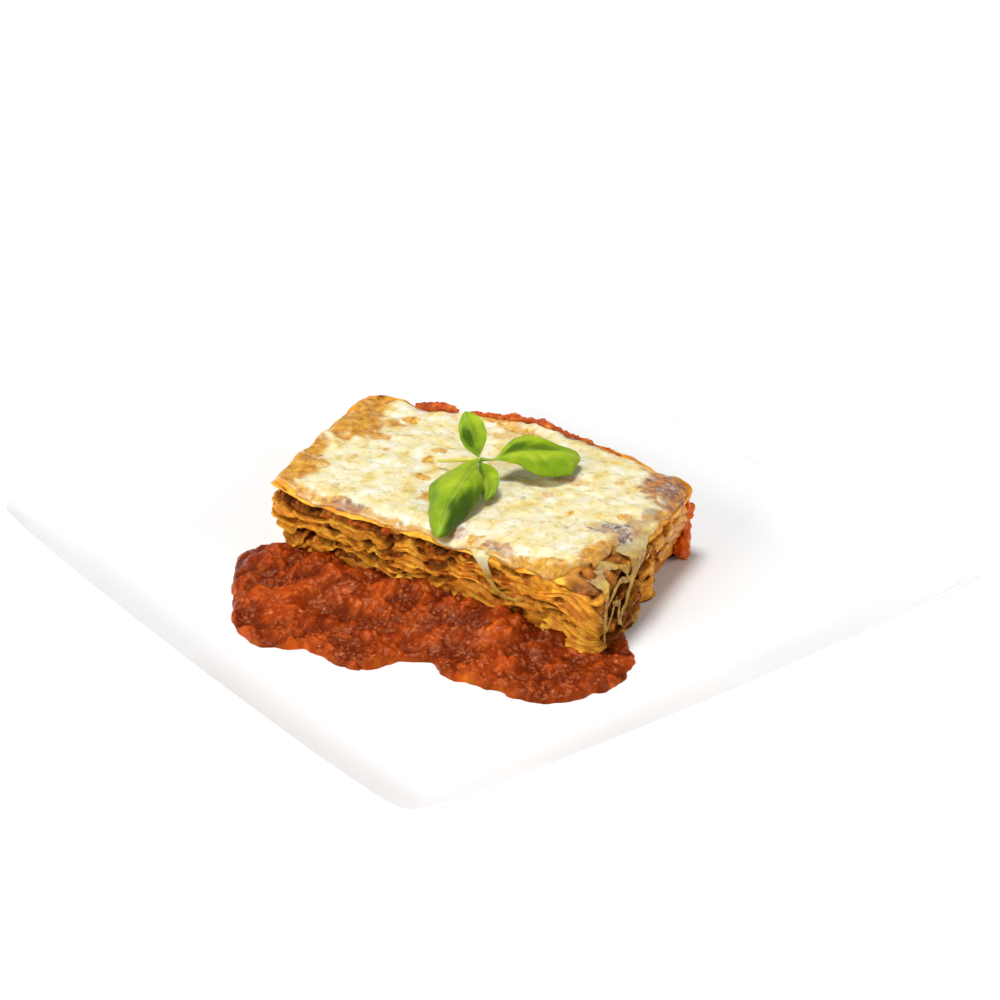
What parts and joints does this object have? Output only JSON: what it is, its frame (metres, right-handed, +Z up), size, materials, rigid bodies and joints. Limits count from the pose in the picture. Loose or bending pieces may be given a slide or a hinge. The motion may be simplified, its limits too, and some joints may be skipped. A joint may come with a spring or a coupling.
{
  "type": "plate of meat lasagna",
  "caption": "Slice of layered meat lasagna under melted cheese, with chunky tomato sauce and a basil sprig, on a square white plate with a low upturned rim.",
  "frame": {"origin": "middle of the plate, on the plane that its foot stands on", "axes": "+Z up, X and Y along the plate's sides; the slice lies turned by 67 degrees with its long cut face and the sauce towards -X"},
  "size_m": [0.26, 0.26, 0.0612],
  "materials": {
    "porcelain": "clear white glaze",
    "pasta": "baked egg pasta, moist and golden",
    "meat_filling": "crumbly minced meat in tomato, moist",
    "melted_cheese": "melted pale cheese with golden spots",
    "tomato_sauce": "wet chunky tomato and meat sauce",
    "baked_tomato": "baked tomato, moist",
    "basil": "fresh leaf with a satin face",
    "basil_stem": "fresh pale green stalk"
  },
  "bodies": {
    "root": {"plate": "porcelain", "pasta_1": "pasta", "pasta_2": "pasta", "pasta_3": "pasta", "pasta_4": "pasta", "pasta_5": "pasta", "pasta_6": "pasta", "filling_1": "meat_filling", "filling_2": "meat_filling", "filling_3": "meat_filling", "filling_4": "meat_filling", "filling_5": "meat_filling", "cheese": "melted_cheese", "sauce_pool": "tomato_sauce", "sauce_smear": "tomato_sauce", "edge_sauce": "baked_tomato", "tomato_piece": "baked_tomato", "basil_leaf_front": "basil", "basil_leaf_right": "basil", "basil_leaf_back": "basil", "basil_leaf_small": "basil", "basil_stem": "basil_stem"}
  },
  "joints": []
}
